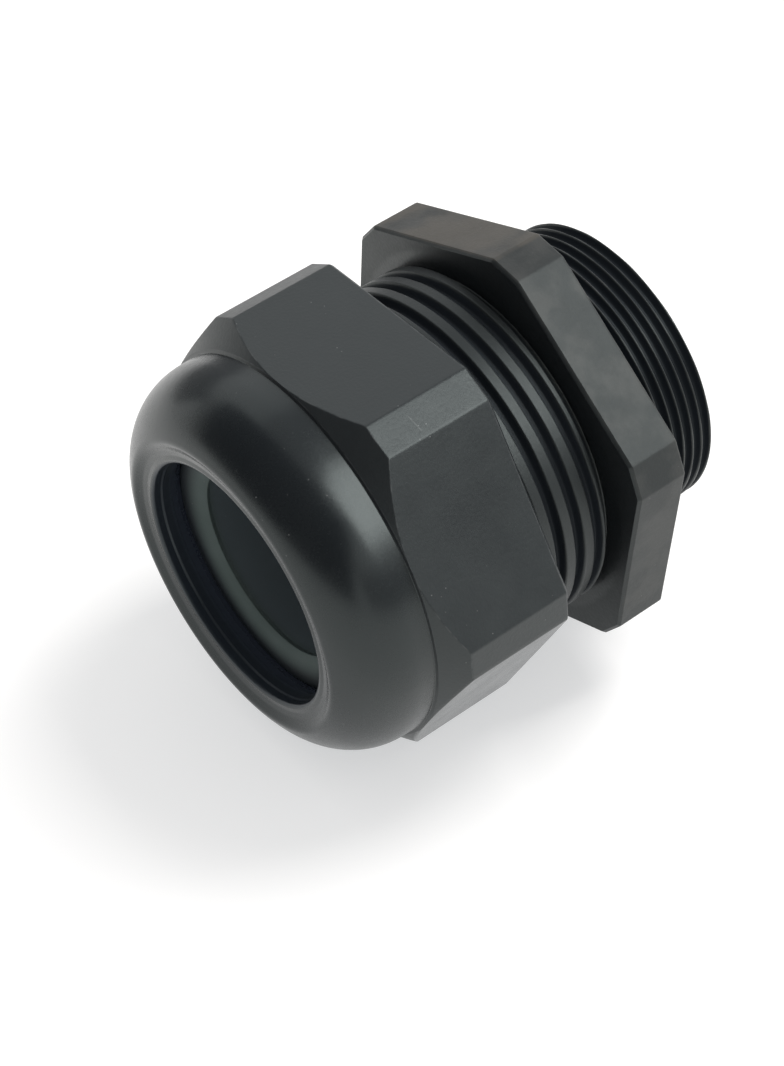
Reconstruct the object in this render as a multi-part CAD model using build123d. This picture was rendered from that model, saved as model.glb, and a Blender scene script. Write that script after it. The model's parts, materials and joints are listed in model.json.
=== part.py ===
from build123d import *
from math import atan, atan2, ceil, cos, degrees, radians, sin, sqrt, tan
import os

# Cable gland, M40 x 1.5, moulded in black polyamide, lying as it rests on a table.
#
# Every piece is built about the gland's own axis: +Z runs out of the connection thread, -Z out of
# the dome's mouth, and Z = 0 is the sealing face of the hexagon flange. At the end each piece is
# laid down, so that +Y runs (almost level) towards the connection thread and +Z points up. The
# gland then stands on three points: the front edge of one nut flat and one corner of the flange.
# The origin is the centre of the sealing face.
#
# The clamping nut screws on a coarse thread. As it comes in, its inner cone bends a crown of
# fingers inwards, and they close the sealing insert on the cable.

# ---- Connection thread, M40 x 1.5 ----
THREAD_RADIUS = 19.95  # crest of a moulded M40 thread
THREAD_PITCH = 1.5
THREAD_DEPTH = 0.92
THREAD_LENGTH = 13.0  # sealing face to thread end, groove included
RELIEF_LENGTH = 2.6  # plain shank between the flange and the thread
RELIEF_DEPTH = 1.55
THREAD_GROOVE_SHARE = 0.875  # groove's width at the crest, as a share of the pitch
THREAD_ROOT_SHARE = 0.25
THREAD_LEAD = 0.8  # chamfer at the thread's end

# ---- Hexagons, both with cut corners ----
ACROSS_FLATS = 54.0
BEVEL_WIDTH = 4.6  # flat left where a corner is cut off
FLANGE_THICKNESS = 7.4
FLANGE_CHAMFER = 0.7
FLANGE_TURN = 20.4  # degrees that the flange's flats stand turned from the nut's flats

# ---- Upper thread of the entry body, coarse, for the nut ----
UPPER_RADIUS = 24.0
UPPER_PITCH = 3.0
UPPER_DEPTH = 1.2
UPPER_GROOVE_SHARE = 0.5
UPPER_ROOT_SHARE = 0.2
UPPER_UNDERCUT = 1.3  # plain groove in front of the flange
UPPER_PHASE = 0.78  # how far past a whole pitch the groove starts in front of the rim
UNDERCUT_EXTRA = 0.2  # how much deeper the undercut is than the thread's root
BLANK_SPARE = 3.0  # length turned off each end of the threaded blank
CUT_SPARE = 1.0  # how far a cutting shape reaches past what it cuts
GROOVE_OVER = 0.1  # how far a groove's cutting section stands above the crest
RIM_PLACE = 27.0  # sealing face to the rim that carries the clamping cage
RIM_CHAMFER = 0.8
RIM_WALL = 3.55  # body's wall outside the clamping cage
SEAT_WIDTH = 1.9  # ledge that the sealing insert stands on

# ---- Clamping nut ----
NUT_REAR_PLACE = 19.7  # sealing face to the nut's rear face, as the nut stands
NUT_HEX_LENGTH = 15.0  # rear face to the front corners of the hexagon
NUT_CONE_LENGTH = 2.9  # front corners to the dome
NUT_REAR_CHAMFER = 0.6
NUT_BORE_CHAMFER = 1.0
DOME_RADIUS = 26.5
DOME_ARC = 9.7
DOME_PLACE = 39.5  # sealing face to the circle where the dome starts to curve in
DOME_SPAN = 70.0  # degrees of the dome's arc, up to its crest
CREST_ROUND = 1.5  # between the dome and the dished face round the mouth
LIP_PLACE = 47.7  # sealing face to the rim of the mouth, inside the dished face
LIP_ROUND = 0.5
MOUTH_RADIUS = 16.8
THROAT_LENGTH = 2.6  # straight part of the mouth
CONE_HALF_ANGLE = 21.8  # inner cone that presses the fingers
THREAD_CLEARANCE = 0.2  # radial and axial, between the nut's thread and the body's
TOUCH = 0.01  # two radii closer than this are one
NUT_THREAD_TURNS = 3.2
RIDGE_SINK = 0.5  # how deep the nut's thread is rooted in its wall
NUT_STROKE_TURNS = 2.15  # from hand-tight, as it stands, to fully tightened

# ---- Clamping cage and its fingers ----
FINGER_COUNT = 16
FINGER_SLOT = 1.3
FINGER_LENGTH = 10.2  # hinge to tip
FINGER_TIP_THICKNESS = 1.6
FINGER_ROOT_THICKNESS = 2.0
KNUCKLE_RADIUS = 0.95  # round root that a finger turns on
FINGER_TURN = 12.0  # degrees that a finger bends in over the nut's whole stroke
CAGE_RING_HEIGHT = 4.0
CAGE_RING_WALL = 2.8
CAGE_SEAT_DEPTH = 1.5  # recess in the rim that centres the ring
CAGE_CLEARANCE = 0.15
FINGER_GAP = 0.3  # between the ring and a finger's rounded root
FINGER_CLEARANCE = 0.5  # between a finger's tip and the nut's inner cone

# ---- Sealing insert ----
SEAL_BORE_RADIUS = 13.05
SEAL_FRONT_PLACE = 42.75
SEAL_REAR_PLACE = 21.6
SEAL_FACE_FALL = 0.6  # how far the front face falls back from bore to edge
SEAL_COLLAR_RADIUS = 17.3  # collar that covers the fingers' tips
SEAL_BORE_ROUND = 1.4
SEAL_CLEARANCE = 0.3

# ---- Connection O-ring ----
RING_SECTION_RADIUS = 1.0
RING_CLEARANCE = 0.03
RING_SEAT_DEPTH = 1.4  # recess in the sealing face that holds most of the ring
RING_SEAT_SPARE = 0.2  # room round the ring for its squeeze

# ---- Worked out ----
RELIEF_RADIUS = THREAD_RADIUS - RELIEF_DEPTH
RING_CENTRE_RADIUS = RELIEF_RADIUS + RING_CLEARANCE + RING_SECTION_RADIUS
RING_SEAT_RADIUS = RING_CENTRE_RADIUS + RING_SECTION_RADIUS + RING_SEAT_SPARE
HALF_FLATS = ACROSS_FLATS / 2
HALF_FLAT_LENGTH = (HALF_FLATS - BEVEL_WIDTH) / sqrt(3)
CORNER_RADIUS = sqrt(HALF_FLATS**2 + HALF_FLAT_LENGTH**2)
CORNER_ANGLE = degrees(atan(HALF_FLAT_LENGTH / HALF_FLATS))
NUT_FRONT_CORNERS = NUT_REAR_PLACE + NUT_HEX_LENGTH
NUT_CONE_END = NUT_FRONT_CORNERS + NUT_CONE_LENGTH
CREST_RADIUS = DOME_RADIUS - DOME_ARC + DOME_ARC * cos(radians(DOME_SPAN))
CREST_PLACE = DOME_PLACE + DOME_ARC * sin(radians(DOME_SPAN))
THROAT_END = LIP_PLACE - THROAT_LENGTH
GROOVE_WIDTH = UPPER_GROOVE_SHARE * UPPER_PITCH
GROOVE_ROOT = UPPER_ROOT_SHARE * UPPER_PITCH
GROOVE_START = RIM_PLACE + UPPER_PITCH + UPPER_PHASE
NUT_STROKE = NUT_STROKE_TURNS * UPPER_PITCH
NUT_BORE_RADIUS = UPPER_RADIUS + THREAD_CLEARANCE
SHOULDER_PLACE = RIM_PLACE + NUT_STROKE + THREAD_CLEARANCE
CONE_SLOPE = tan(radians(CONE_HALF_ANGLE))
CAGE_SEAT_RADIUS = UPPER_RADIUS - RIM_WALL
CAGE_OUTER_RADIUS = CAGE_SEAT_RADIUS - CAGE_CLEARANCE
CAGE_INNER_RADIUS = CAGE_OUTER_RADIUS - CAGE_RING_WALL
SEAL_REAR_RADIUS = CAGE_INNER_RADIUS - SEAL_CLEARANCE
CABLE_PASSAGE_RADIUS = CAGE_INNER_RADIUS - SEAT_WIDTH
CAGE_SEAT_PLACE = RIM_PLACE - CAGE_SEAT_DEPTH
CAGE_FRONT_PLACE = CAGE_SEAT_PLACE + CAGE_RING_HEIGHT
HINGE_RADIUS = CAGE_INNER_RADIUS + FINGER_ROOT_THICKNESS / 2
HINGE_PLACE = CAGE_FRONT_PLACE + FINGER_GAP + FINGER_ROOT_THICKNESS / 2
FINGER_TIP_PLACE = HINGE_PLACE + FINGER_LENGTH


def cone_radius(place):
    """Radius of the nut's inner cone at a distance from the sealing face."""
    return MOUTH_RADIUS + (THROAT_END - place) * CONE_SLOPE


def finger_inside(place):
    """Radius of a finger's inner side at a distance from the sealing face."""
    tip_inner = cone_radius(FINGER_TIP_PLACE) - FINGER_CLEARANCE - FINGER_TIP_THICKNESS
    share = (place - HINGE_PLACE) / FINGER_LENGTH
    return CAGE_INNER_RADIUS + (tip_inner - CAGE_INNER_RADIUS) * share


SEAL_COLLAR_PLACE = FINGER_TIP_PLACE + SEAL_CLEARANCE
SEAL_NECK_RADIUS = finger_inside(SEAL_COLLAR_PLACE) - SEAL_CLEARANCE


def turned(points):
    """Solid of revolution about the gland's axis from (radius, place) corners."""
    outline = Polyline([(radius, 0, -place) for radius, place in points], close=True)
    return revolve(make_face(outline), Axis.Z)


def cut_corner_prism(front, rear, turn):
    """Hexagonal prism with cut corners, from one place to the other."""
    corners = []
    for flat in range(6):
        for side in (-CORNER_ANGLE, CORNER_ANGLE):
            angle = radians(turn + 60 * flat + side)
            corners.append((CORNER_RADIUS * cos(angle), CORNER_RADIUS * sin(angle)))
    outline = Plane.XY.offset(-front) * Polyline(corners, close=True)
    return extrude(make_face(outline), front - rear)


def helical_strip(radius, pitch, front, turns, section):
    """Strip wound about the axis to the right, from a (radial, axial) section about its centre."""
    path = Pos(0, 0, -front) * Helix(pitch, turns * pitch, radius)
    start = Plane(origin=path @ 0, x_dir=(1, 0, 0), z_dir=path % 0)
    face = start * make_face(Polyline(section, close=True))
    return sweep(face, path=path, is_frenet=True)


def groove_section(depth, crest_width, root_width, above):
    """Trapezium of a thread groove, its wide side carried a little above the crest."""
    widening = (crest_width - root_width) / 2 / depth * above
    return [
        (-depth, -root_width / 2),
        (above, -crest_width / 2 - widening),
        (above, crest_width / 2 + widening),
        (-depth, root_width / 2),
    ]


def make_entry_body():
    """Threaded body: connection thread, flange, upper thread, cable passage and seats.

    The threads are cut in a blank that is longer at both ends, and the ends are then turned off.
    """
    inside_flange = FLANGE_THICKNESS / 2
    blank_end = THREAD_LENGTH + BLANK_SPARE
    blank_rim = GROOVE_START + BLANK_SPARE
    body = turned(
        [
            (CABLE_PASSAGE_RADIUS, -blank_end),
            (THREAD_RADIUS, -blank_end),
            (THREAD_RADIUS, -RELIEF_LENGTH),
            (RELIEF_RADIUS, (THREAD_RADIUS - RELIEF_RADIUS) / 2 - RELIEF_LENGTH),
            (RELIEF_RADIUS, inside_flange),
            (UPPER_RADIUS, inside_flange),
            (UPPER_RADIUS, blank_rim),
            (CABLE_PASSAGE_RADIUS, blank_rim),
        ]
    )
    body -= helical_strip(
        UPPER_RADIUS,
        UPPER_PITCH,
        GROOVE_START,
        (GROOVE_START - FLANGE_THICKNESS - UPPER_UNDERCUT / 2) / UPPER_PITCH,
        groove_section(UPPER_DEPTH, GROOVE_WIDTH, GROOVE_ROOT, GROOVE_OVER),
    )
    body -= turned(
        [
            (UPPER_RADIUS - UPPER_DEPTH - UNDERCUT_EXTRA, inside_flange - CUT_SPARE),
            (UPPER_RADIUS + CUT_SPARE, inside_flange - CUT_SPARE),
            (UPPER_RADIUS + CUT_SPARE, FLANGE_THICKNESS + UPPER_UNDERCUT),
            (UPPER_RADIUS - UPPER_DEPTH - UNDERCUT_EXTRA, FLANGE_THICKNESS + UPPER_UNDERCUT),
        ]
    )
    flange = cut_corner_prism(FLANGE_THICKNESS, 0, -90 - FLANGE_TURN)
    flange = chamfer(flange.faces().sort_by(Axis.Z)[0].edges(), FLANGE_CHAMFER)
    flange -= turned(
        [
            (0, -CUT_SPARE),
            (RING_SEAT_RADIUS, -CUT_SPARE),
            (RING_SEAT_RADIUS, RING_SEAT_DEPTH),
            ((CABLE_PASSAGE_RADIUS + RELIEF_RADIUS) / 2, RING_SEAT_DEPTH),
            ((CABLE_PASSAGE_RADIUS + RELIEF_RADIUS) / 2, FLANGE_THICKNESS + CUT_SPARE),
            (0, FLANGE_THICKNESS + CUT_SPARE),
        ]
    )
    body += flange
    body -= helical_strip(
        THREAD_RADIUS,
        THREAD_PITCH,
        -RELIEF_LENGTH / 2,
        ceil(THREAD_LENGTH / THREAD_PITCH),
        groove_section(
            THREAD_DEPTH,
            THREAD_GROOVE_SHARE * THREAD_PITCH,
            THREAD_ROOT_SHARE * THREAD_PITCH,
            GROOVE_OVER,
        ),
    )
    body -= turned(
        [
            (CABLE_PASSAGE_RADIUS - CUT_SPARE, -THREAD_LENGTH),
            (THREAD_RADIUS - THREAD_LEAD, -THREAD_LENGTH),
            (THREAD_RADIUS + THREAD_LEAD, THREAD_LEAD - THREAD_LENGTH),
            (THREAD_RADIUS + THREAD_LEAD, -blank_end - CUT_SPARE),
            (CABLE_PASSAGE_RADIUS - CUT_SPARE, -blank_end - CUT_SPARE),
        ]
    )
    return body - turned(
        [
            (CABLE_PASSAGE_RADIUS - CUT_SPARE, SEAL_REAR_PLACE - SEAL_CLEARANCE),
            (CAGE_INNER_RADIUS, SEAL_REAR_PLACE - SEAL_CLEARANCE),
            (CAGE_INNER_RADIUS, CAGE_SEAT_PLACE),
            (CAGE_SEAT_RADIUS, CAGE_SEAT_PLACE),
            (CAGE_SEAT_RADIUS, RIM_PLACE),
            (UPPER_RADIUS - RIM_CHAMFER, RIM_PLACE),
            (UPPER_RADIUS + RIM_CHAMFER, RIM_PLACE - 2 * RIM_CHAMFER),
            (UPPER_RADIUS + RIM_CHAMFER, blank_rim + CUT_SPARE),
            (CABLE_PASSAGE_RADIUS - CUT_SPARE, blank_rim + CUT_SPARE),
        ]
    )


def make_dome_nut():
    """Clamping nut: hexagon, dome with a rolled mouth, inner cone and coarse inner thread."""
    hexagon = cut_corner_prism(NUT_CONE_END, NUT_REAR_PLACE, -90)
    hexagon = chamfer(hexagon.faces().sort_by(Axis.Z)[-1].edges(), NUT_REAR_CHAMFER)
    reach = CORNER_RADIUS + CUT_SPARE
    cone_fall = (CORNER_RADIUS - HALF_FLATS) / NUT_CONE_LENGTH
    hexagon &= turned(
        [
            (0, NUT_REAR_PLACE),
            (reach, NUT_REAR_PLACE),
            (reach, NUT_FRONT_CORNERS - CUT_SPARE / cone_fall),
            (HALF_FLATS, NUT_CONE_END),
            (0, NUT_CONE_END),
        ]
    )
    arc_angle = radians(DOME_SPAN / 2)
    dome_root = NUT_CONE_END - CUT_SPARE
    dome_outline = Polyline(
        (CREST_RADIUS, 0, -CREST_PLACE),
        (MOUTH_RADIUS, 0, -LIP_PLACE),
        (MOUTH_RADIUS, 0, -dome_root),
        (DOME_RADIUS, 0, -dome_root),
        (DOME_RADIUS, 0, -DOME_PLACE),
    )
    dome_arc = ThreePointArc(
        (DOME_RADIUS, 0, -DOME_PLACE),
        (
            DOME_RADIUS - DOME_ARC + DOME_ARC * cos(arc_angle),
            0,
            -DOME_PLACE - DOME_ARC * sin(arc_angle),
        ),
        (CREST_RADIUS, 0, -CREST_PLACE),
    )
    dome = revolve(make_face(dome_outline + dome_arc), Axis.Z)
    rims = dome.edges().filter_by(GeomType.CIRCLE).sort_by(Axis.Z)
    dome = fillet(rims[0], CREST_ROUND)
    rims = dome.edges().filter_by(GeomType.CIRCLE)
    mouth_rim = rims.filter_by(lambda edge: abs(edge.radius - MOUTH_RADIUS) < TOUCH)
    dome = fillet(mouth_rim.sort_by(Axis.Z)[0], LIP_ROUND)
    cavity = turned(
        [
            (0, NUT_REAR_PLACE - CUT_SPARE),
            (NUT_BORE_RADIUS + NUT_BORE_CHAMFER, NUT_REAR_PLACE - CUT_SPARE),
            (NUT_BORE_RADIUS + NUT_BORE_CHAMFER, NUT_REAR_PLACE),
            (NUT_BORE_RADIUS, NUT_REAR_PLACE + NUT_BORE_CHAMFER),
            (NUT_BORE_RADIUS, SHOULDER_PLACE),
            (cone_radius(SHOULDER_PLACE), SHOULDER_PLACE),
            (MOUTH_RADIUS, THROAT_END),
            (MOUTH_RADIUS, CREST_PLACE + CUT_SPARE),
            (0, CREST_PLACE + CUT_SPARE),
        ]
    )
    ridge_width = GROOVE_WIDTH - 2 * THREAD_CLEARANCE
    ridge_root = GROOVE_ROOT - THREAD_CLEARANCE / 2
    first_turn = ceil((GROOVE_START - SHOULDER_PLACE) / UPPER_PITCH)
    ridge = helical_strip(
        UPPER_RADIUS,
        UPPER_PITCH,
        GROOVE_START - first_turn * UPPER_PITCH,
        NUT_THREAD_TURNS,
        groove_section(UPPER_DEPTH - THREAD_CLEARANCE, ridge_width, ridge_root, RIDGE_SINK),
    )
    return (hexagon + dome) - cavity + ridge


def make_clamping_cage():
    """Ring that stands in the rim's recess and carries the fingers."""
    return turned(
        [
            (CAGE_INNER_RADIUS, CAGE_SEAT_PLACE),
            (CAGE_OUTER_RADIUS, CAGE_SEAT_PLACE),
            (CAGE_OUTER_RADIUS, CAGE_FRONT_PLACE),
            (CAGE_INNER_RADIUS, CAGE_FRONT_PLACE),
        ]
    )


def make_finger():
    """One clamping finger at the angle 0, with a round knuckle that turns on the ring."""
    outline = Polyline(
        (CAGE_INNER_RADIUS, 0, -HINGE_PLACE),
        (finger_inside(FINGER_TIP_PLACE), 0, -FINGER_TIP_PLACE),
        (finger_inside(FINGER_TIP_PLACE) + FINGER_TIP_THICKNESS, 0, -FINGER_TIP_PLACE),
        (CAGE_INNER_RADIUS + FINGER_ROOT_THICKNESS, 0, -HINGE_PLACE),
        close=True,
    )
    share = 360 / FINGER_COUNT
    finger = Rot(0, 0, -share / 2) * revolve(make_face(outline), Axis.Z, share)
    hinge = Pos(HINGE_RADIUS, 0, -HINGE_PLACE)
    knuckle_length = 2 * HINGE_RADIUS * tan(radians(share / 2))
    finger += hinge * Rot(90, 0, 0) * Cylinder(KNUCKLE_RADIUS, knuckle_length)
    slot = hinge * Box(HINGE_RADIUS, FINGER_SLOT, 4 * FINGER_LENGTH)
    for side in (-share / 2, share / 2):
        finger -= Rot(0, 0, side) * slot
    return finger


def make_sealing_insert():
    """Soft ring inside the fingers, with a rounded front face round its bore."""
    insert = turned(
        [
            (SEAL_BORE_RADIUS, SEAL_REAR_PLACE),
            (SEAL_REAR_RADIUS, SEAL_REAR_PLACE),
            (SEAL_REAR_RADIUS, CAGE_FRONT_PLACE),
            (SEAL_NECK_RADIUS, SEAL_COLLAR_PLACE),
            (SEAL_COLLAR_RADIUS, SEAL_COLLAR_PLACE),
            (SEAL_COLLAR_RADIUS, SEAL_FRONT_PLACE - SEAL_FACE_FALL),
            (SEAL_BORE_RADIUS, SEAL_FRONT_PLACE),
        ]
    )
    rims = insert.edges().filter_by(GeomType.CIRCLE).sort_by(Axis.Z)
    return fillet(rims[0], SEAL_BORE_ROUND)


def make_connection_o_ring():
    """Round sealing ring in the recess of the sealing face."""
    depth = RING_SEAT_DEPTH - RING_CLEARANCE - RING_SECTION_RADIUS
    return Pos(0, 0, -depth) * Torus(RING_CENTRE_RADIUS, RING_SECTION_RADIUS)


def lowest_flange_corner():
    """How far the flange's lowest corner reaches below the axis, in the lying gland."""
    reaches = []
    for flat in range(6):
        for side in (-CORNER_ANGLE, CORNER_ANGLE):
            reaches.append(sin(radians(-90 - FLANGE_TURN + 60 * flat + side)))
    return CORNER_RADIUS * max(reaches)


# The gland rests on the nut's front edge and on the flange's lowest corner.
REST_TILT = degrees(
    atan2(
        lowest_flange_corner() - HALF_FLATS,
        NUT_FRONT_CORNERS - FLANGE_THICKNESS + FLANGE_CHAMFER,
    )
)
LAID = Location((0, 0, 0), (REST_TILT - 90, 0, 0))


def write(piece, node):
    """Lay a piece down and write it as one node."""
    laid = LAID * piece
    laid.label = node
    export_step(laid, f"parts/{node}.step")
    solids = laid.solids()
    print(f"{node}: {len(solids)} solid, {sum(s.volume for s in solids):.0f} mm3")


os.makedirs("parts", exist_ok=True)
print(f"rest tilt {REST_TILT:.3f} degrees, nut stroke {NUT_STROKE:.2f} mm")
print(f"finger hinge: radius {HINGE_RADIUS:.3f}, place {HINGE_PLACE:.3f}")
print(f"finger turn per nut turn {FINGER_TURN / NUT_STROKE_TURNS:.3f} degrees")
write(make_entry_body(), "entry_body")
write(make_dome_nut(), "dome_nut")
write(make_clamping_cage(), "clamping_cage")
write(make_sealing_insert(), "sealing_insert")
write(make_connection_o_ring(), "connection_o_ring")
finger = make_finger()
for number in range(FINGER_COUNT):
    write(Rot(0, 0, 360 / FINGER_COUNT * number) * finger, f"clamping_finger_{number + 1:02d}")
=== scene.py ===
# %% [markdown]
# # A cable gland, dressed
# The part is an M40 cable gland of black polyamide: a threaded body with a hexagon flange, and a
# domed clamping nut that squeezes a soft insert round a cable. It lies on a white table, on one
# edge of the nut and one corner of the flange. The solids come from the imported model. This lesson
# gives them moulded edges, real threads and finishes, and lights them as a plain studio would.

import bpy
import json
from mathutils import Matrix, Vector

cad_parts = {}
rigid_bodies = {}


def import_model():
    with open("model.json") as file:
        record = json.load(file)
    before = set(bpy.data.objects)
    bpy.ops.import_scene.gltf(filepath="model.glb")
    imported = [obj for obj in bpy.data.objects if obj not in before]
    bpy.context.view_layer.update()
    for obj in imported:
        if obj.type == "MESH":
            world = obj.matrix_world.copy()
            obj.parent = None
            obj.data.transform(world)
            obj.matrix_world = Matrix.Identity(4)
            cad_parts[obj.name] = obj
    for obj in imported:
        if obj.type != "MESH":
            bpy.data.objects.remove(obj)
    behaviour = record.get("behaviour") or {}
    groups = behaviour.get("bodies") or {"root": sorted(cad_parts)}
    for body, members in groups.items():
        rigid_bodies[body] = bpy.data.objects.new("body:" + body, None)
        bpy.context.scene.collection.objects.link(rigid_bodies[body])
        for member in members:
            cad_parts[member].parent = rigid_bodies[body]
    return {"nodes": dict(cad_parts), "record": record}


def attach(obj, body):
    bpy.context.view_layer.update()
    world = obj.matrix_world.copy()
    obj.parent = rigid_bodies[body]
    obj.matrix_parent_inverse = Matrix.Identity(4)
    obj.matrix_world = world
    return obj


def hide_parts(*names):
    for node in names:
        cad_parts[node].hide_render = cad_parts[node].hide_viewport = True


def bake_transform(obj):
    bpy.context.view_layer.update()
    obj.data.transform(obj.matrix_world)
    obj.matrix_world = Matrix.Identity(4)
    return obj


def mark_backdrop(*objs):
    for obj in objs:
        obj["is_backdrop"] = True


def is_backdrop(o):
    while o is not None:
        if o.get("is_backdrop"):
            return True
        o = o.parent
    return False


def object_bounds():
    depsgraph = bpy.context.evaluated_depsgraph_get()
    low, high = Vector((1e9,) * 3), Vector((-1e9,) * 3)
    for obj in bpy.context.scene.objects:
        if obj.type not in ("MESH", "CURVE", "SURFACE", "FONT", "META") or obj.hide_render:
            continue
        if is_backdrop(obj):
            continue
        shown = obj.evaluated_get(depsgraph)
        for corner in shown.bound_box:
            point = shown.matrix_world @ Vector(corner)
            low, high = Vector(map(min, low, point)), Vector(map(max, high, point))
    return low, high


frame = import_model()
cad_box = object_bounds()

# %% [markdown]
# ## The gland's own axis
# Everything on the gland is round or six-sided about one axis, but the gland doesn't lie quite
# level. So each piece is drawn in the gland's own directions, where z runs along the axis, and
# one matrix lays it down. The nut's slide joint in the record runs along that axis, so the
# direction is read there instead of being written twice. A "place" is a distance in millimetres
# from the flange's sealing face towards the dome.

# %% Directions of the lying gland
import json
from math import atan, atan2, ceil, cos, degrees, radians, sin, sqrt, tau

import bpy
from mathutils import Matrix, Vector

joints = {joint["name"]: joint for joint in frame["record"]["behaviour"]["joints"]}
AXIS = Vector(joints["nut_travel"]["axis"]).normalized()
SIDE = Vector((1, 0, 0))
BELOW = AXIS.cross(SIDE)
LAID = Matrix((SIDE, BELOW, AXIS)).transposed().to_4x4()
MM = 0.001


def at(x, y, place):
    """Point of the lying gland, from its own x, y and place in millimetres."""
    return LAID @ Vector((x * MM, y * MM, -place * MM))


print("the axis rises by", round(degrees(atan2(AXIS.z, AXIS.y)), 2), "degrees")

# %% [markdown]
# ## The camera
# A long lens from well above shows the dome, three sides of the nut and the thread behind the
# flange. The aim is a point just below the nut, which leaves the gland a little high in an
# upright frame. The camera is built from its place, the point that it looks at and a slight
# roll, because those three are easier to check than a table of angles.

# %% Camera
CAMERA_PLACE = Vector((0.19943, -0.18192, 0.21591))
CAMERA_AIM = Vector((-0.00258, -0.02092, -0.01246))
CAMERA_ROLL = 0.46
LENS, SENSOR = 90.45, 36

camera_data = bpy.data.cameras.new("camera")
camera_data.lens = LENS
camera_data.sensor_width = SENSOR
camera_data.clip_start = 0.01
camera = bpy.data.objects.new("camera", camera_data)
gaze = CAMERA_AIM - CAMERA_PLACE
look = gaze.to_track_quat("-Z", "Y").to_matrix().to_4x4()
camera.matrix_world = (
    Matrix.Translation(CAMERA_PLACE) @ look @ Matrix.Rotation(radians(CAMERA_ROLL), 4, "Z")
)
bpy.context.collection.objects.link(camera)
bpy.context.scene.camera = camera
bpy.context.scene.view_settings.view_transform = "Standard"
print("camera looks down by", round(degrees(atan2(-gaze.z, gaze.xy.length)), 1), "degrees")

# %% [markdown]
# ## Shader maths as sums and products
# A finish is easier to read as an expression, such as `0.4 + grain * 0.1`, than as a page of node
# wiring. A small class wraps one output of a node. Adding or multiplying two of them adds a Math
# node. Every other node comes from one method that takes the node's type, its settings and what
# goes into its sockets.


# %% Wires and finishes
class Wire:
    """One output of a node. A sum or product of wires adds a Math node to the same tree."""

    def __init__(self, finish, socket):
        self.finish = finish
        self.socket = socket

    def of(self, output):
        """Another output of the same node."""
        return Wire(self.finish, self.socket.node.outputs[output])

    def maths(self, operation, *values):
        return self.finish.add("ShaderNodeMath", {"operation": operation}, dict(enumerate(values)))

    def __add__(self, other):
        return self.maths("ADD", self, other)

    def __sub__(self, other):
        return self.maths("SUBTRACT", self, other)

    def __rsub__(self, other):
        return self.maths("SUBTRACT", other, self)

    def __mul__(self, other):
        return self.maths("MULTIPLY", self, other)

    def __pow__(self, other):
        return self.maths("POWER", self, other)

    def __abs__(self):
        return self.maths("ABSOLUTE", self)

    __radd__ = __add__
    __rmul__ = __mul__


class Finish:
    """A node tree that is being filled."""

    def __init__(self, tree):
        self.tree = tree
        self.tree.nodes.clear()

    def add(self, kind, settings=None, inputs=None, output=0):
        """Add one node: its settings first, then the values or wires of its sockets."""
        node = self.tree.nodes.new(kind)
        for name, value in (settings or {}).items():
            if name == "stops":
                ramp = node.color_ramp.elements
                while len(ramp) < len(value):
                    ramp.new(0.5)
                for stop, (position, colour) in zip(ramp, value):
                    stop.position, stop.color = position, colour
            else:
                setattr(node, name, value)
        for name, value in (inputs or {}).items():
            if isinstance(value, Wire):
                self.tree.links.new(value.socket, node.inputs[name])
            else:
                node.inputs[name].default_value = value
        return Wire(self, node.outputs[output]) if len(node.outputs) else node


print("wires carry + - * ** and abs")

# %% [markdown]
# ## The helpers every finish shares
# All the finishes ask the same things: where a point lies on the gland, how cloudy or grainy the
# plastic is there, whether a value has risen past a limit, and which of two colours wins.
# Noise sizes are given in millimetres, so that the grain has the scale of real moulded plastic.


# %% Helpers for finishes
def new_finish(name):
    """An empty material and its finish."""
    material = bpy.data.materials.new(name)
    material.use_nodes = True
    return material, Finish(material.node_tree)


def gland_point(finish):
    """The point in the gland's own directions, in metres, for noise."""
    laid = finish.add("ShaderNodeTexCoord").of("Object")
    stand = LAID.to_quaternion().inverted().to_euler()
    return finish.add("ShaderNodeMapping", None, {"Vector": laid, "Rotation": stand})


def measured(finish, point):
    """The point's own x, y and place in millimetres."""
    split = finish.add("ShaderNodeSeparateXYZ", None, {"Vector": point})
    return split * 1000, split.of("Y") * 1000, split.of("Z") * -1000


def radius_and_place(finish, point):
    """The point's distance from the axis and its place, in millimetres."""
    x, y, place = measured(finish, point)
    return (x * x + y * y) ** 0.5, place


def noise(finish, point, size, detail=2.0):
    """Cloud of about this size in millimetres, between 0 and 1."""
    return finish.add(
        "ShaderNodeTexNoise", None, {"Vector": point, "Scale": 1000 / size, "Detail": detail}
    )


def rise(finish, value, low, high):
    """0 below one value and 1 above the other, with a smooth climb between them."""
    return finish.add(
        "ShaderNodeMapRange",
        {"interpolation_type": "SMOOTHSTEP"},
        {"Value": value, "From Min": low, "From Max": high},
    )


def either(finish, mask, where_0, where_1):
    """Colour that goes from one to the other with a mask."""
    return finish.add(
        "ShaderNodeMix", {"data_type": "RGBA"}, {0: mask, 6: where_0, 7: where_1}, output=2
    )


def grey(level, warm=0.0):
    """Near-neutral colour. Warm above 0 leans to beige, below 0 to blue-green."""
    return (level * (1 + warm), level, level * (1 - warm), 1)


print("helpers for finishes ready")

# %% [markdown]
# ## The table and the light
# The table is plain white. Black satin plastic shows mostly what it mirrors, so the light is
# planned by its reflections. One soft lamp above the flange throws the shadow to the lower left
# and isn't mirrored itself. Five cards, which only the gland's surface sees, make the tones. A
# dark one in front deepens the dome, a small bright one is the window on its right shoulder, and
# the roof and both sides are middle greys. The camera sees the table and the surroundings as
# white, and the gland's shadow stays on the table.

# %% Table
table_height = cad_box[0][2]
TABLE_SIZE = 4.0


def seen_directly(finish):
    """1 where the camera or a reflection sees a thing, 0 where the thing only gives light."""
    ray = finish.add("ShaderNodeLightPath")
    return ray.of("Is Camera Ray") + ray.of("Is Glossy Ray") + ray.of("Is Transmission Ray")


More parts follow.
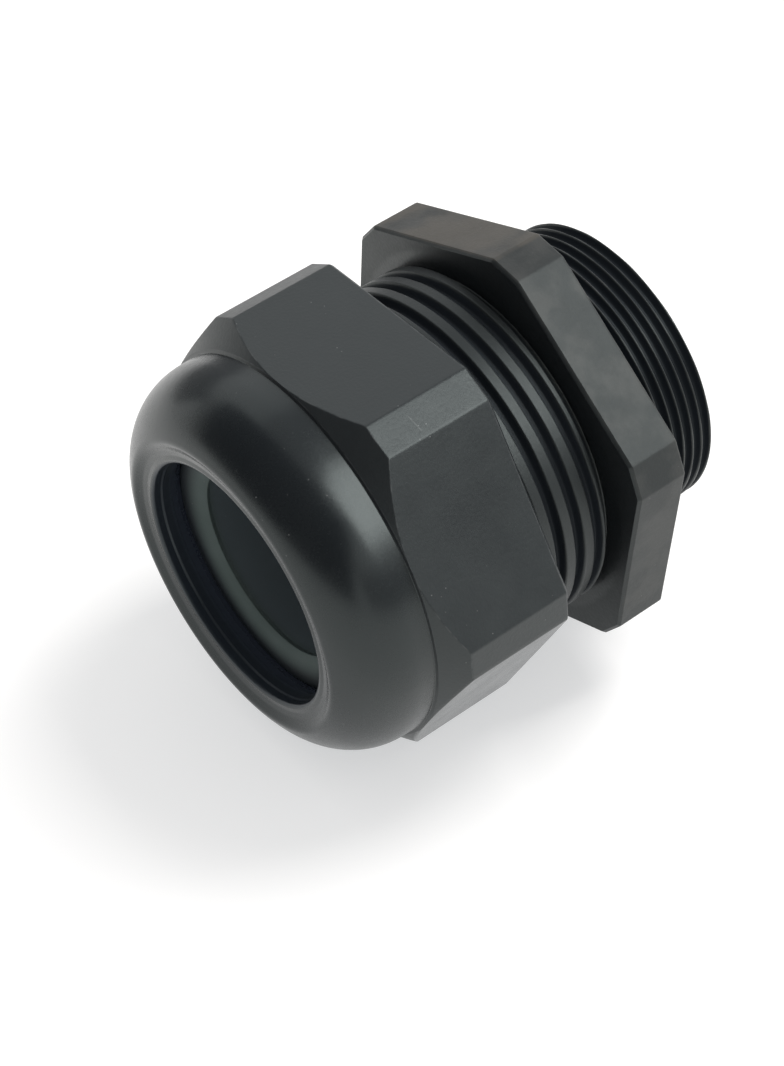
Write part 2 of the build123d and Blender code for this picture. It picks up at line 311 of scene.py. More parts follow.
table_mesh = bpy.data.meshes.new("table")
half = TABLE_SIZE / 2
table_mesh.from_pydata(
    [(-half, -half, table_height), (half, -half, table_height),
     (half, half, table_height), (-half, half, table_height)],
    [], [(0, 1, 2, 3)],
)
table = bpy.data.objects.new("table", table_mesh)
bpy.context.collection.objects.link(table)

table_material, white = new_finish("table_white")
paper = white.add("ShaderNodeBsdfDiffuse", None, {"Color": grey(0.78)})
shaded = white.add("ShaderNodeBsdfDiffuse", None, {"Color": (0.56, 0.545, 0.53, 1)})
glow = white.add("ShaderNodeEmission", None, {"Color": (0.97, 0.985, 1.0, 1), "Strength": 0.55})
lit = white.add("ShaderNodeAddShader", None, {0: shaded, 1: glow})
table_top = white.add("ShaderNodeMixShader", None, {0: seen_directly(white), 1: paper, 2: lit})
white.add("ShaderNodeOutputMaterial", None, {"Surface": table_top})
table_mesh.materials.append(table_material)
print("table at", round(table_height * 1000, 2), "mm")

# %% Surroundings
world = bpy.data.worlds.new("studio")
world.use_nodes = True
bpy.context.scene.world = world
studio = Finish(world.node_tree)
bounce = studio.add("ShaderNodeBackground", None, {"Color": (1, 1, 1, 1), "Strength": 0.6})
backdrop = studio.add("ShaderNodeBackground", None, {"Color": (1, 1, 1, 1), "Strength": 1.0})
surroundings = studio.add(
    "ShaderNodeMixShader", None, {0: seen_directly(studio), 1: bounce, 2: backdrop}
)
studio.add("ShaderNodeOutputWorld", None, {"Surface": surroundings})
print("white surroundings, seen brighter than they shine")


# %% Lamp and cards
def lamp(name, direction, distance, size, power):
    """Square soft lamp that looks at the gland from a direction."""
    data = bpy.data.lights.new(name, "AREA")
    data.size = size
    data.energy = power
    made = bpy.data.objects.new(name, data)
    made.location = Vector(direction).normalized() * distance
    made.rotation_euler = Vector(direction).to_track_quat("Z", "Y").to_euler()
    bpy.context.collection.objects.link(made)
    return made


key_lamp = lamp("key_lamp", (0.06, 0.47, 0.88), distance=0.7, size=0.35, power=4.6)
key_lamp.visible_glossy = False


def card(name, place, width, height, level, facing=None):
    """Card that only the gland's surface mirrors, square to the gland or to a direction."""
    mesh = bpy.data.meshes.new(name)
    w, h = width / 2, height / 2
    mesh.from_pydata([(-w, -h, 0), (w, -h, 0), (w, h, 0), (-w, h, 0)], [], [(0, 1, 2, 3)])
    made = bpy.data.objects.new(name, mesh)
    made.location = place
    made.rotation_euler = Vector(facing or place).to_track_quat("Z", "Y").to_euler()
    made.visible_camera = False
    made.visible_shadow = False
    made.visible_diffuse = False
    material, felt = new_finish(name)
    shade = felt.add("ShaderNodeEmission", None, {"Color": grey(1), "Strength": level})
    felt.add("ShaderNodeOutputMaterial", None, {"Surface": shade})
    mesh.materials.append(material)
    bpy.context.collection.objects.link(made)
    return made


cards = [
    card("front_card", (0.0, -0.424, 0.265), 1.4, 0.74, 0.03),
    card("roof_card", (0.31, 0.42, 0.6), 1.18, 1.3, 0.45, (0, 0, 1)),
    card("window_card", (0.29, 0.106, 0.394), 0.35, 0.38, 5.5),
    card("side_card", (0.59, 0.06, 0.09), 0.75, 0.24, 0.35),
    card("left_card", (-0.6, 0.02, 0.13), 0.5, 0.3, 0.25),
]
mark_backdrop(table, *cards)
print("one lamp and", len(cards), "cards")

# %% [markdown]
# ## Sections that are swept round
# The nut and the body are one section each, carried round the axis. The section isn't the same
# at every angle: at a flat the outside is nearer to the axis than at a cut corner, and a thread's
# groove climbs as it turns. So the section is written as a function of the angle, and the points
# for all the angles form one closed skin. Every edge gets a small round, as a mould leaves it,
# because a knife edge catches no light.

# %% Rounded sections
EDGE_STEPS = 4
HOLD = 0.12  # length beside a round that keeps the shading of the flat out of it
ROUND_ROOM = 0.45  # share of a side that the round at one of its ends may take
STRAIGHT = 3.1  # angle of a corner with a side of no length
LEAST_COSINE, LEAST_TANGENT = 0.01, 0.05  # bounds that keep a straight or folded corner finite


def rounded(corners):
    """Points along a closed section, with each corner that has a radius rounded off.

    Each point is (distance from the axis, place, how much of an edge it is).
    """
    points = []
    for number, (r, place, round_off) in enumerate(corners):
        if not round_off:
            points.append((r, place, 0.0))
            continue
        here = Vector((r, place))
        back = Vector(corners[number - 1][:2]) - here
        ahead = Vector(corners[(number + 1) % len(corners)][:2]) - here
        room = ROUND_ROOM * min(back.length, ahead.length)
        turn = back.angle(ahead, STRAIGHT) / 2
        tangent = max(sin(turn) / max(cos(turn), LEAST_COSINE), LEAST_TANGENT)
        reach = min(round_off / tangent, room)
        hold = min(HOLD, 0.5 * room)
        start = here + back.normalized() * reach
        end = here + ahead.normalized() * reach
        points.append((*(start + back.normalized() * hold), 0.0))
        for step in range(EDGE_STEPS + 1):
            s = step / EDGE_STEPS
            bend = start * (1 - s) ** 2 + here * 2 * s * (1 - s) + end * s * s
            points.append((*bend, 1 - abs(2 * s - 1)))
        points.append((*(end + ahead.normalized() * hold), 0.0))
    return points


print("a rounded corner has", EDGE_STEPS + 3, "points")


# %% Skins from sections
def skin(name, section_at, angles, closed=True):
    """Mesh object made by carrying a section round the axis, laid down on the table."""
    sections = [rounded(section_at(angle)) for angle in angles]
    count = len(sections[0])
    points, edges = [], []
    for angle, section in zip(angles, sections):
        for r, place, edge in section:
            points.append(at(r * cos(angle), r * sin(angle), place))
            edges.append(edge)
    faces = []
    for i in range(len(angles) if closed else len(angles) - 1):
        here, there = i * count, (i + 1) % len(angles) * count
        for k in range(count):
            ahead = (k + 1) % count
            faces.append((here + k, here + ahead, there + ahead, there + k))
    mesh = bpy.data.meshes.new(name)
    mesh.from_pydata(points, [], faces)
    mesh.attributes.new("edge", "FLOAT", "POINT").data.foreach_set("value", edges)
    mesh.shade_smooth()
    made = bpy.data.objects.new(name, mesh)
    bpy.context.collection.objects.link(made)
    print(name, len(points), "points")
    return made


# %% [markdown]
# ## Six sides with cut corners
# Both hexagons are 54 mm across the flats, and their corners are cut off to a flat 4.6 mm wide.
# The distance to the outside at any angle is the nearest of twelve planes. Taking a smooth
# minimum instead of a plain one rounds the edges by a few tenths of a millimetre. The angles
# stand close together there, and far apart on the flats.

# %% Hexagon
HALF_FLATS = 27.0
BEVEL_WIDTH = 4.6
HALF_BEVELS = (2 * HALF_FLATS - BEVEL_WIDTH / 2) / sqrt(3)
CORNER_ANGLE = degrees(atan((HALF_FLATS - BEVEL_WIDTH) / sqrt(3) / HALF_FLATS))
EDGE_SOFTNESS = 0.1


def smooth_min(a, b, softness):
    """The lesser of two lengths, with the change from one to the other rounded off."""
    overlap = max(softness - abs(a - b), 0)
    return min(a, b) - overlap * overlap / (4 * softness)


def hexagon(angle, first_flat):
    """Distance from the axis to the outside of a hexagon with cut corners."""
    distance = 2 * HALF_FLATS
    for number in range(12):
        away = cos(angle - radians(first_flat + 30 * number))
        if away > 0.5:  # the other planes face elsewhere
            plane = HALF_BEVELS if number % 2 else HALF_FLATS
            distance = smooth_min(distance, plane / away, EDGE_SOFTNESS)
    return distance


def hexagon_angles(first_flat):
    """Angles round a hexagon, close together at its edges."""
    near_edge = (-1.2, -0.5, -0.2, 0.0, 0.2, 0.5, 1.2)
    on_flat = [2.5 * step for step in range(-9, 10)]
    on_bevel = [-30.0, -28.4, 28.4]
    at_edges = [side * CORNER_ANGLE + step for side in (-1, 1) for step in near_edge]
    one_sixth = on_flat + on_bevel + at_edges
    turns = sorted(60 * flat + step for flat in range(6) for step in one_sixth)
    return [radians(first_flat + turn) for turn in turns]


print("across the cut corners", round(2 * HALF_BEVELS, 2), "mm")

# %% [markdown]
# ## Threads
# A thread is a groove that climbs by one pitch each turn. At any angle and place the groove's
# depth depends only on how far the point is from the groove's middle line, so one short function
# serves the fine thread, the coarse one and the nut. The coarse thread is rounded at its crests
# and its roots. The fine one has a narrow, sharp crest, which is why it shines in thin lines.

# %% Grooves
THREAD_RADIUS, THREAD_PITCH, THREAD_DEPTH = 19.95, 1.5, 0.92
THREAD_START, THREAD_END, THREAD_LEAD = 1.3, -13.0, 0.8
THREAD_MOUTH, THREAD_ROOT = 0.65, 0.10  # half the groove's width at the crest and at the root
UPPER_RADIUS, UPPER_PITCH, UPPER_DEPTH = 24.0, 3.0, 1.2
UPPER_START, UPPER_REAR = 30.78, 8.7
UPPER_MOUTH, UPPER_ROOT = 0.84, 0.36
RIM_PLACE, RIM_CHAMFER = 27.0, 0.8
RIDGE_FOOT, RIDGE_TOP, RIDGE_HEIGHT = 0.62, 0.18, 1.0
RIDGE_REAR, RIDGE_FRONT, RIDGE_FADE = 21.2, 31.2, 0.8
THREAD_CLEARANCE = 0.2


def groove(angle, height, start, pitch, mouth, root):
    """How far down the side of a groove a point is, from 0 on the crest to 1 at the root.

    Mouth and root are half the groove's width there.
    """
    off = (height - start - pitch * angle / tau) / pitch
    off = abs(off - round(off)) * pitch
    return min(max((mouth - off) / (mouth - root), 0), 1)


def rolled(share):
    """The same climb from 0 to 1, with both its ends rounded."""
    return share * share * (3 - 2 * share)


def fine_thread(angle, place):
    """Outside of the connection thread, with the lead at its end."""
    cut = groove(angle, -place, THREAD_START, THREAD_PITCH, THREAD_MOUTH, THREAD_ROOT)
    lead = THREAD_RADIUS - THREAD_LEAD + 2 * (place - THREAD_END)
    return min(THREAD_RADIUS - THREAD_DEPTH * cut * (2 - cut), lead)


def coarse_thread(angle, place):
    """Outside of the body's upper thread, with the chamfer at its rim."""
    cut = groove(angle, -place, -UPPER_START, UPPER_PITCH, UPPER_MOUTH, UPPER_ROOT)
    lead = UPPER_RADIUS - RIM_CHAMFER + (RIM_PLACE - place)
    return min(UPPER_RADIUS - UPPER_DEPTH * rolled(cut), lead)


def nut_thread(angle, place):
    """Inside of the nut, with the ridge that runs in the body's groove."""
    ridge = groove(angle, -place, -UPPER_START, UPPER_PITCH, RIDGE_FOOT, RIDGE_TOP)
    from_end = min(place - RIDGE_REAR, RIDGE_FRONT - place)
    faded = min(max(from_end / RIDGE_FADE, 0), 1)
    return UPPER_RADIUS + THREAD_CLEARANCE - RIDGE_HEIGHT * rolled(ridge) * faded


def steps(start, end, spacing):
    """Places from start to end, no further apart than the spacing."""
    count = ceil(abs(end - start) / spacing)
    return [start + (end - start) * step / count for step in range(count + 1)]


print("coarse groove turns", round((RIM_PLACE - UPPER_REAR) / UPPER_PITCH, 1), "times")

# %% [markdown]
# ## The domed clamping nut
# From the rear the section runs over the flat, then down a cone that is turned across the six
# sides. Where the cone meets a flat it leaves a curved line, and where it meets a cut corner a
# dark sickle. Then comes the dome, one large round up to a crest. From the crest the face falls a
# little, as far as a soft bead round the mouth. Inside are a hairline step, the straight throat,
# the cone that closes the fingers and the thread. The place where cone and side meet is worked
# out for each angle, so that the mesh follows the curved line exactly.

# %% Nut section
NUT_REAR, NUT_FRONT_CORNERS, NUT_CONE_END = 19.7, 34.7, 37.6
CORNER_RADIUS = HALF_FLATS / cos(radians(CORNER_ANGLE))
CONE_SLOPE = (NUT_CONE_END - NUT_FRONT_CORNERS) / (CORNER_RADIUS - HALF_FLATS)
DOME_RADIUS, DOME_ARC, DOME_PLACE = 26.5, 9.7, 39.5
DOME_SPAN = radians(70)
DOME_STEPS, CREST_STEPS = 40, 4  # the crest's round takes the place of the arc's last steps
CREST_ROUND = 1.4
MOUTH_RADIUS, LIP_PLACE, THROAT_END = 16.8, 47.7, 45.1
HAIRLINE, HAIRLINE_PLACE = 0.05, 46.5  # the step in the throat, half its height and its place
CONE_FALL, CONE_FOOT = 0.4, 33.65  # the inner cone, its widening in each millimetre and its foot
NUT_CHAMFER, BORE_CHAMFER = 0.35, 1.0
HIDDEN_STEP = 0.33  # between the points of a thread that isn't seen
LEAST_SIDE = 0.05  # the shortest side that a section may have


def dome_points():
    """The dome's round, its crest, and the dished face with a bead round the mouth."""
    middle = DOME_RADIUS - DOME_ARC
    arc = [
        (middle + DOME_ARC * cos(DOME_SPAN * s), DOME_PLACE + DOME_ARC * sin(DOME_SPAN * s), 0)
        for s in steps(0, 1, 1 / DOME_STEPS)
    ]
    face = [
        (*arc[-1][:2], CREST_ROUND),
        (18.75, 47.95, 1.2),
        (17.95, 47.8, 0.5),
        (17.35, 47.87, 0.35),
        (MOUTH_RADIUS, LIP_PLACE, 0.5),
    ]
    return arc[:-CREST_STEPS] + face


def nut_section(angle):
    """Section of the nut, from the rear over the outside to the mouth and back inside."""
    side = hexagon(angle, -90)
    crease = NUT_CONE_END - max((side - HALF_FLATS) * CONE_SLOPE, LEAST_SIDE)
    outside = [
        (UPPER_RADIUS + THREAD_CLEARANCE + BORE_CHAMFER, NUT_REAR, 0.15),
        (side - NUT_CHAMFER, NUT_REAR, 0.15),
        (side, NUT_REAR + NUT_CHAMFER, 0.25),
        (side, crease, 0.35),
        (HALF_FLATS, NUT_CONE_END, 0.2),
        (DOME_RADIUS + 0.06, NUT_CONE_END + 0.15, 0.15),
    ]
    inside = [
        (MOUTH_RADIUS + HAIRLINE, HAIRLINE_PLACE + 0.15, 0.1),
        (MOUTH_RADIUS - HAIRLINE, HAIRLINE_PLACE - 0.15, 0.1),
        (MOUTH_RADIUS, THROAT_END, 0.3),
        (MOUTH_RADIUS + (THROAT_END - CONE_FOOT) * CONE_FALL, CONE_FOOT, 0.2),
    ]
    threaded = steps(CONE_FOOT, NUT_REAR + BORE_CHAMFER, HIDDEN_STEP)
    thread = [(nut_thread(angle, place), place, 0) for place in threaded]
    return outside + dome_points() + inside + thread


nut = skin("nut_skin", nut_section, hexagon_angles(-90))
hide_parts("dome_nut")
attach(nut, "nut")

# %% [markdown]
# ## The threaded body
# The body is longer than it looks, because most of it is hidden in the nut. From the end of the
# connection thread the section runs over the fine thread, a plain shank, the recess for the
# sealing ring, the flange and the coarse thread to the rim, and back through the cable passage.
# The flange stands turned from the nut by about 20 degrees, as it happened to stop when the nut
# was last turned.

# %% Body section
FLANGE_TURN = 20.4
FLANGE_THICKNESS, FLANGE_CHAMFER = 7.4, 0.4
FLANGE_FLAT = -90 - FLANGE_TURN
SHANK_RADIUS, SHANK_LENGTH = 18.4, 2.6
RECESS_RADIUS, RECESS_DEPTH = 20.63, 1.4
UNDERCUT_RADIUS = 22.6
CAGE_SEAT_RADIUS, CAGE_SEAT = 20.45, 25.5
CHAMBER_RADIUS, LEDGE_PLACE = 17.5, 21.3  # the insert's room, and the ledge that it stands on
PASSAGE_RADIUS, END_RADIUS = 15.6, 18.9
FINE_STEP, SHOWN_STEP, SHOWN_END = 0.094, 0.12, 20.0  # how closely the threads are drawn


def body_section(angle):
    """Section of the body, from the thread's end over the flange to the rim and back inside."""
    side = hexagon(angle, FLANGE_FLAT)
    fine_places = steps(THREAD_END + 0.1, -SHANK_LENGTH, FINE_STEP)
    fine = [(fine_thread(angle, place), place, 0) for place in fine_places]
    flange = [
        (SHANK_RADIUS, -1.8, 0.2),
        (SHANK_RADIUS, RECESS_DEPTH, 0.15),
        (RECESS_RADIUS, RECESS_DEPTH, 0.15),
        (RECESS_RADIUS, 0, 0.1),
        (side, 0, 0.3),
        (side, FLANGE_THICKNESS - FLANGE_CHAMFER, 0.1),
        (side - FLANGE_CHAMFER, FLANGE_THICKNESS, 0.1),
        (UNDERCUT_RADIUS, FLANGE_THICKNESS, 0.2),
        (UNDERCUT_RADIUS, UPPER_REAR - 0.1, 0.1),
    ]
    shown_places = steps(UPPER_REAR, SHOWN_END, SHOWN_STEP)
    hidden_places = steps(SHOWN_END + 0.3, RIM_PLACE - 0.1, HIDDEN_STEP)
    coarse = [(coarse_thread(angle, place), place, 0) for place in shown_places + hidden_places]
    inside = [
        (CAGE_SEAT_RADIUS, RIM_PLACE, 0.1),
        (CAGE_SEAT_RADIUS, CAGE_SEAT, 0),
        (CHAMBER_RADIUS, CAGE_SEAT, 0.1),
        (CHAMBER_RADIUS, LEDGE_PLACE, 0),
        (PASSAGE_RADIUS, LEDGE_PLACE, 0.15),
        (PASSAGE_RADIUS, 10.0, 0),
        (PASSAGE_RADIUS, -1.0, 0),
        (PASSAGE_RADIUS, THREAD_END, 0.3),
        (END_RADIUS, THREAD_END, 0.2),
    ]
    return fine + flange + coarse + inside


body = skin("body_skin", body_section, hexagon_angles(FLANGE_FLAT))
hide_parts("entry_body")
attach(body, "root")

# %% [markdown]
# ## The soft insert
# The insert is one ring of soft rubber, but it has to close when the fingers do. So its skin is
# made in sixteen strips, one behind each finger. At rest the strips meet without a seam. The
# front is a collar that lies over the finger tips, and its face rolls into the bore.

# %% Insert strips
FINGERS, STRIP_STEPS = 16, 12
HINGE_PLACE = 30.8
SEAL_BORE = 13.35
SEAL_REAR, SEAL_REAR_RADIUS = 21.6, 17.2
TAPER, TAPER_PLACE, TAPER_RADIUS = 0.11, 30, 17.1  # the outside, behind the fingers
NECK_RADIUS, COLLAR_RADIUS, COLLAR_REAR, COLLAR_FRONT = 15.85, 17.2, 41.3, 43.4
BEAD_ROUND, BEAD_MIDDLE, BEAD_TOP = 5.2, 16.52, 43.54


def insert_section(angle):
    """Section of the insert, from its rear over the outside to the front face and the bore."""
    outer = [
        (TAPER_RADIUS - TAPER * (place - TAPER_PLACE), place, 0) for place in (31, 32.5, 34, 37, 40)
    ]
    bore = [(SEAL_BORE, place, 0) for place in (40, 38, 36, 34.5, 33.5, 32, 30.5, 29, 26)]
    rear = [(SEAL_BORE, SEAL_REAR, 0.3), (SEAL_REAR_RADIUS, SEAL_REAR, 0.3)]
    collar = [
        (NECK_RADIUS, COLLAR_REAR, 0.1),
        (COLLAR_RADIUS, COLLAR_REAR, 0.25),
        (COLLAR_RADIUS, COLLAR_FRONT, 0.3),
    ]
    bead = [
        (BEAD_MIDDLE + BEAD_ROUND * sin(turn), BEAD_TOP - BEAD_ROUND * (1 - cos(turn)), 0)
        for turn in steps(radians(2), radians(-42), radians(6))
    ]
    lip = [(*bead.pop()[:2], 0.12), (SEAL_BORE, COLLAR_REAR + 0.3, 0.15)]
    return rear + [(SEAL_REAR_RADIUS, 29.5, 0.3)] + outer + collar + bead + lip + bore


strips = []
for number in range(FINGERS):
    middle = tau * number / FINGERS
    turns = [middle + tau / FINGERS * (step / STRIP_STEPS - 0.5) for step in range(STRIP_STEPS + 1)]
    strip = skin(f"insert_strip_{number + 1:02d}", insert_section, turns, closed=False)
    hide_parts("sealing_insert")
    at(0, 0, HINGE_PLACE - 1)
    at(0, 0, HINGE_PLACE + 2.5)
    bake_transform(strip)
    strips.append(strip)
print(len(strips), "strips")

# %% [markdown]
# ## Satin polyamide
# Moulded black polyamide isn't one grey. It has a fine grain from the steel of the mould, broad
# clouds where the melt cooled at different speeds, dust, and edges rubbed pale by handling. The
# plastic itself is nearly black, and what the eye reads as grey is the sheen. So the colour stays
# dark, and the roughness does most of the work. The dome has come from a polished part of the
# mould, and the nut's low side, next to the table, is worn smooth. One fine scratch crosses a cut
# corner.


# %% Helpers for plastic and rubber
PLASTIC_IOR, SHEEN = 1.5, (0.90, 1.0, 0.97, 1)
# Painted shade: the dark colour that is mixed into the thread grooves.
GROOVE_SHADE_COLOUR = (0.019, 0.023, 0.029, 1)


def dust(finish, point, spacing, size):
    """1 on scattered specks of about this size in millimetres."""
    cells = finish.add("ShaderNodeTexVoronoi", None, {"Vector": point, "Scale": 1000 / spacing})
    return 1 - rise(finish, cells, 0.5 * size / spacing, size / spacing)


def surface(finish, colour, roughness, height, relief, painted_groove_shade=None):
    """Close a finish: colour, roughness and a bump of this height in millimetres.

    Where painted_groove_shade is 1, a dark diffuse is mixed in as painted shade in a groove.
    """
    bump = finish.add("ShaderNodeBump", None, {"Height": height, "Distance": relief * MM})
    shader = finish.add(
        "ShaderNodeBsdfPrincipled",
        None,
        {
            "Base Color": colour,
            "Roughness": roughness,
            "Normal": bump,
            "IOR": PLASTIC_IOR,
            "Specular Tint": SHEEN,
        },
    )
    if painted_groove_shade:
        groove_shade_bsdf = finish.add("ShaderNodeBsdfDiffuse", None, {"Color": GROOVE_SHADE_COLOUR})
        shader = finish.add("ShaderNodeMixShader", None, {0: painted_groove_shade, 1: shader, 2: groove_shade_bsdf})
    finish.add("ShaderNodeOutputMaterial", None, {"Surface": shader})


def rubbed_edges(finish, point, size, low, high):
    """1 on the parts of the skin's edges where a cloud of this size says that they are worn."""
    edge = finish.add("ShaderNodeAttribute", {"attribute_name": "edge"}, output=2)
    return edge * rise(finish, noise(finish, point, size, 4), low, high)


print("plastic and rubber helpers ready")

# %% Marks on single sides
LOW_SIDE = 30  # degrees round the axis
SCRATCH_PLACE, SCRATCH_FALL = 31.98, 0.166  # its line's place at x = 0, and its fall with x
SCRATCH_FROM, SCRATCH_TO, SCRATCH_FADE = 14.0, 16.4, 0.4


def one_side(finish, point, angle):
    """1 on the side of a hexagon that faces this angle."""
    x, y = measured(finish, point)[:2]
    out = x * cos(radians(angle)) + y * sin(radians(angle))
    return rise(finish, out, HALF_FLATS - 0.4, HALF_FLATS - 0.1)


def scratch(finish, point):
    """1 on one fine scratch across a cut corner of the nut."""
    x, y, place = measured(finish, point)
    off = abs(place + x * SCRATCH_FALL - SCRATCH_PLACE)
    begun = rise(finish, x, SCRATCH_FROM, SCRATCH_FROM + SCRATCH_FADE)
    ended = rise(finish, x, SCRATCH_TO - SCRATCH_FADE, SCRATCH_TO)
    line = begun * (1 - ended) * (1 - rise(finish, off, 0.04, 0.13))
    return line * (1 - rise(finish, y, -24.5, -24.0))


print("one scratch and two marked sides")

# %% Where the nut's finish changes
nut_material, moulded = new_finish("satin_polyamide_nut")
point = gland_point(moulded)
radius, place = radius_and_place(moulded, point)
cloud = noise(moulded, point, 9, 3)
grain = noise(moulded, point, 0.45)
streak = noise(moulded, point, 3, 4)
dome = rise(moulded, place, NUT_CONE_END - 0.1, NUT_CONE_END + 0.3)
worn = rubbed_edges(moulded, point, 1.6, 0.42, 0.62) * (1 - dome)
specks = dust(moulded, point, 1.5, 0.11) * rise(moulded, cloud, 0.48, 0.6)
throat = 1 - rise(moulded, radius, MOUTH_RADIUS + 0.2, MOUTH_RADIUS + 0.5)
# Painted shade on the throat's wall and painted light on the cone behind it, for the dim light
# deep in the mouth.
painted_throat_wall = rise(moulded, place, 42, 43) * throat
deep = 1 - rise(moulded, place, THROAT_END - 0.5, THROAT_END + 0.5)
painted_lit_cone = rise(moulded, place, 40, 41) * (1 - rise(moulded, radius, 18.6, 19.0)) * deep
print("nut: sides, dome, throat and the cone behind it")

# %% Nut finish
# Painted shade and painted light: bluish tones that stand in for the light inside the mouth.
SHADED_THROAT = (0.018, 0.023, 0.032, 1)
LIT_CONE = (0.050, 0.061, 0.084, 1)

sides = either(moulded, cloud, grey(0.017, -0.12), grey(0.025, -0.10))
colour = either(moulded, cloud, grey(0.012, -0.18), grey(0.016, -0.14))
colour = either(moulded, dome, sides, colour)
colour = either(moulded, painted_throat_wall, colour, SHADED_THROAT)
colour = either(moulded, painted_lit_cone, colour, LIT_CONE)
colour = either(moulded, worn * 0.35, colour, grey(0.14, -0.02))
colour = either(moulded, specks * 0.5, colour, grey(0.25))
colour = either(moulded, scratch(moulded, point) * 0.3, colour, grey(0.12))
roughness = 0.37 + (cloud - 0.5) * 0.12 + (grain - 0.5) * 0.10 + (streak - 0.5) * 0.08
roughness = roughness - dome * 0.11 - one_side(moulded, point, LOW_SIDE) * 0.17 + painted_throat_wall * 0.15
height = grain * (1 - dome * 0.85)
surface(moulded, colour, roughness, height, 0.02)
nut.data.materials.append(nut_material)
print("nut finish:", len(moulded.tree.nodes), "nodes")

# %% [markdown]
# ## The body's plastic
# The body has come out of another mould. The sides of its flange are a little paler and more
# matt, with smudges where hands and keys touch, and the top side has a film of beige dust. The
# fine thread is rubbed pale at its crests, where it has met a metal wall, and that pale colour
# also stands in for their thin glints as a painted highlight. Both threads get a dark, matt groove
# of painted shade, because little light finds its way out of one.

# %% Where the body's finish changes
body_material, moulded = new_finish("satin_polyamide_body")
point = gland_point(moulded)
radius, place = radius_and_place(moulded, point)
cloud = noise(moulded, point, 7, 3)
grain = noise(moulded, point, 0.4)
smudge = rise(moulded, noise(moulded, point, 5, 5), 0.40, 0.66)
worn = rubbed_edges(moulded, point, 1.4, 0.45, 0.65)
flange = rise(moulded, radius, HALF_FLATS - 2.0, HALF_FLATS - 1.0)
handled = flange * (1 - rise(moulded, place, FLANGE_THICKNESS - 0.4, FLANGE_THICKNESS - 0.1))
ahead = rise(moulded, place, FLANGE_THICKNESS + 0.2, FLANGE_THICKNESS + 0.6)
behind = 1 - rise(moulded, place, -SHANK_LENGTH - 0.1, -SHANK_LENGTH + 0.1)
crest = rise(moulded, radius, THREAD_RADIUS - 0.25, THREAD_RADIUS - 0.05)
# Partly wear and partly painted highlight: the crests are rubbed paler, and the pale colour also
# stands in for their thin glints.
rubbed_and_glinting = crest * behind * rise(moulded, cloud, 0.46, 0.7)
off_end = rise(moulded, place, THREAD_END + 0.1, THREAD_END + 0.2)
off_bore = rise(moulded, radius, END_RADIUS - 0.05, END_RADIUS + 0.05)
fine_crest = rise(moulded, radius, THREAD_RADIUS - 0.3, THREAD_RADIUS - 0.05)
coarse_crest = rise(moulded, radius, UPPER_RADIUS - 0.45, UPPER_RADIUS - 0.08)
# Painted shade in the grooves of both threads, below their crests.
fine_groove_shade = (1 - fine_crest) * off_end * off_bore * behind
coarse_groove_shade = (1 - coarse_crest) * ahead
film = rise(moulded, noise(moulded, point, 8, 5), 0.36, 0.58)
dusty = film * handled * one_side(moulded, point, FLANGE_FLAT)
specks = dust(moulded, point, 2.4, 0.12) * rise(moulded, cloud, 0.45, 0.6)
print("body: flange, two grooves, rubbed crests and a dusty side")

# %% Body finish
colour = either(moulded, cloud, grey(0.011, -0.14), grey(0.016, -0.12))
touched = either(moulded, smudge, grey(0.022, -0.05), grey(0.040, 0.01))
colour = either(moulded, handled, colour, touched)
colour = either(moulded, dusty * 0.8, colour, grey(0.060, 0.14))
colour = either(moulded, worn * 0.3, colour, grey(0.10))
# Painted highlight and wear on the fine thread's crests.
colour = either(moulded, rubbed_and_glinting * 0.3, colour, grey(0.07))
colour = either(moulded, specks * 0.4, colour, grey(0.2))
roughness = 0.36 + (cloud - 0.5) * 0.12 + (grain - 0.5) * 0.12 + flange * 0.09 + handled * 0.09
roughness = roughness + ahead * 0.09 - rubbed_and_glinting * 0.1
surface(moulded, colour, roughness, grain, 0.02, (fine_groove_shade + coarse_groove_shade) * 0.75)
body.data.materials.append(body_material)
print("body finish:", len(moulded.tree.nodes), "nodes")

# %% [markdown]
# ## The rubber of the insert
# Soft rubber scatters light where it is stretched and powdered, so the bead round the bore looks
# pale grey-green. The paleness is tied to the distance from the axis. It fades towards the rim,
# where painted shade darkens the face and stands in for the shadow inside the nut's mouth, and no
# line shows.

# %% Insert finish
PLAIN_RUBBER, POWDERED_RUBBER = (0.085, 0.104, 0.114, 1), (0.068, 0.091, 0.086, 1)
SHADED_RUBBER = (0.010, 0.013, 0.018, 1)

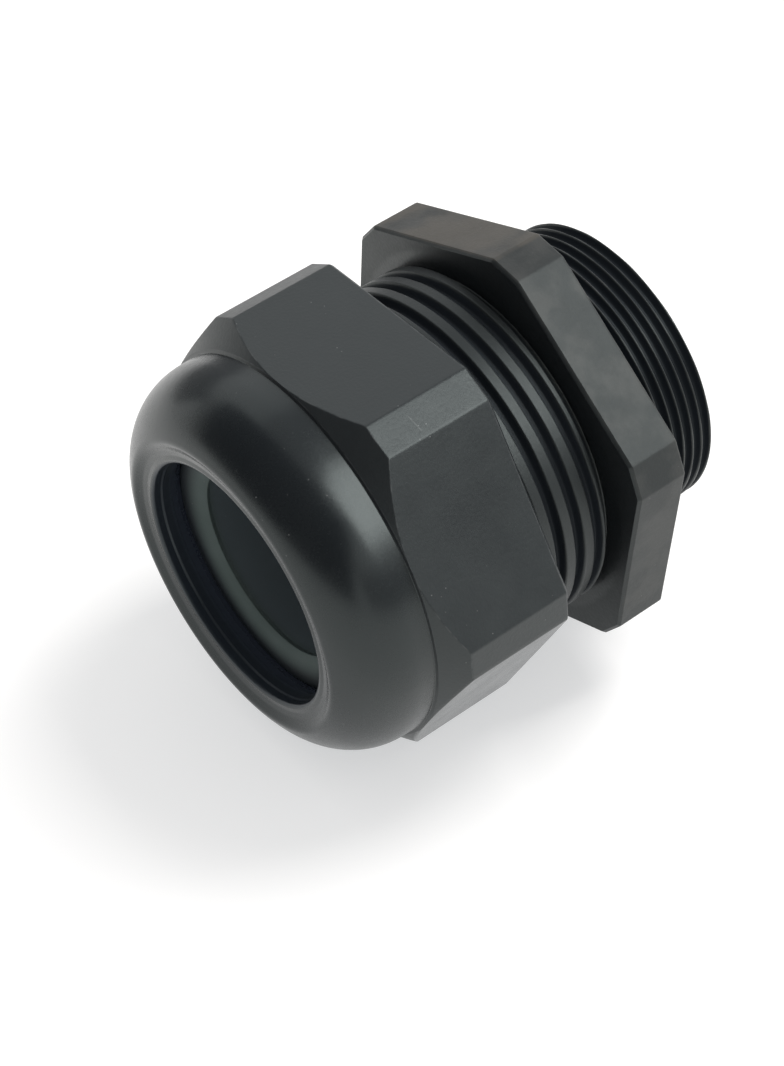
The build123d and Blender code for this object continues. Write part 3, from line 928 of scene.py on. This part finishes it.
insert_material, rubber = new_finish("soft_grey_rubber")
point = gland_point(rubber)
radius, place = radius_and_place(rubber, point)
cloud = noise(rubber, point, 4, 3)
grain = noise(rubber, point, 0.3)
face = rise(rubber, place, COLLAR_REAR - 0.7, COLLAR_REAR + 0.9)
powder = face * (0.8 + cloud * 0.4)
# Painted shade: the face darkens towards the rim, standing in for the shadow inside the mouth.
shade = face * rise(rubber, radius, SEAL_BORE + 0.25, COLLAR_RADIUS - 1.0)
colour = either(rubber, powder, PLAIN_RUBBER, POWDERED_RUBBER)
colour = either(rubber, shade, colour, SHADED_RUBBER)
colour = either(rubber, dust(rubber, point, 1.8, 0.1) * 0.4, colour, grey(0.2))
roughness = 0.5 + (cloud - 0.5) * 0.15 + (grain - 0.5) * 0.1 + powder * 0.1
surface(rubber, colour, roughness, grain, 0.01)
for strip in strips:
    strip.data.materials.append(insert_material)
print("insert finish:", len(rubber.tree.nodes), "nodes")

# %% [markdown]
# ## Fingers, cage and sealing ring
# The clamping fingers show only as dark tips in the mouth, and the cage not at all until the nut
# is off. They keep their solids, because those already have the right shape, and get the matt
# black of a plain moulding. The sealing ring in the flange's recess is smooth black rubber with a
# little bloom.

# %% Finish of the fingers and the cage
def coat(solid, material):
    """Give a solid that stays as it is its finish."""
    for slot in solid.material_slots:
        slot.material = material


cage_material, matt = new_finish("matt_black_polyamide")
point = gland_point(matt)
cloud = noise(matt, point, 3, 3)
grain = noise(matt, point, 0.35)
colour = either(matt, cloud, grey(0.012), grey(0.020))
roughness = 0.5 + (cloud - 0.5) * 0.12 + (grain - 0.5) * 0.1
surface(matt, colour, roughness, grain, 0.01)
for name, node in frame["nodes"].items():
    if name.startswith("clamping_"):
        coat(node, cage_material)
print("cage finish:", len(matt.tree.nodes), "nodes")

# %% Finish of the sealing ring
ring_material, bloom = new_finish("black_ring_rubber")
point = gland_point(bloom)
cloud = noise(bloom, point, 2, 4)
grain = noise(bloom, point, 0.25)
colour = either(bloom, rise(bloom, cloud, 0.5, 0.75), grey(0.012), grey(0.035))
roughness = 0.36 + (cloud - 0.5) * 0.2 + (grain - 0.5) * 0.06
surface(bloom, colour, roughness, grain, 0.006)
coat(frame["nodes"]["connection_o_ring"], ring_material)
print("ring finish:", len(bloom.tree.nodes), "nodes")

# %% [markdown]
# ## Last look at the size
# The dressed gland must stay in the box of the solids. Its box is printed.

# %% Sizes
visual_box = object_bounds()
for axis, low, high in zip("xyz", *visual_box):
    print(axis, round(low * 1000, 2), "to", round(high * 1000, 2), "mm")
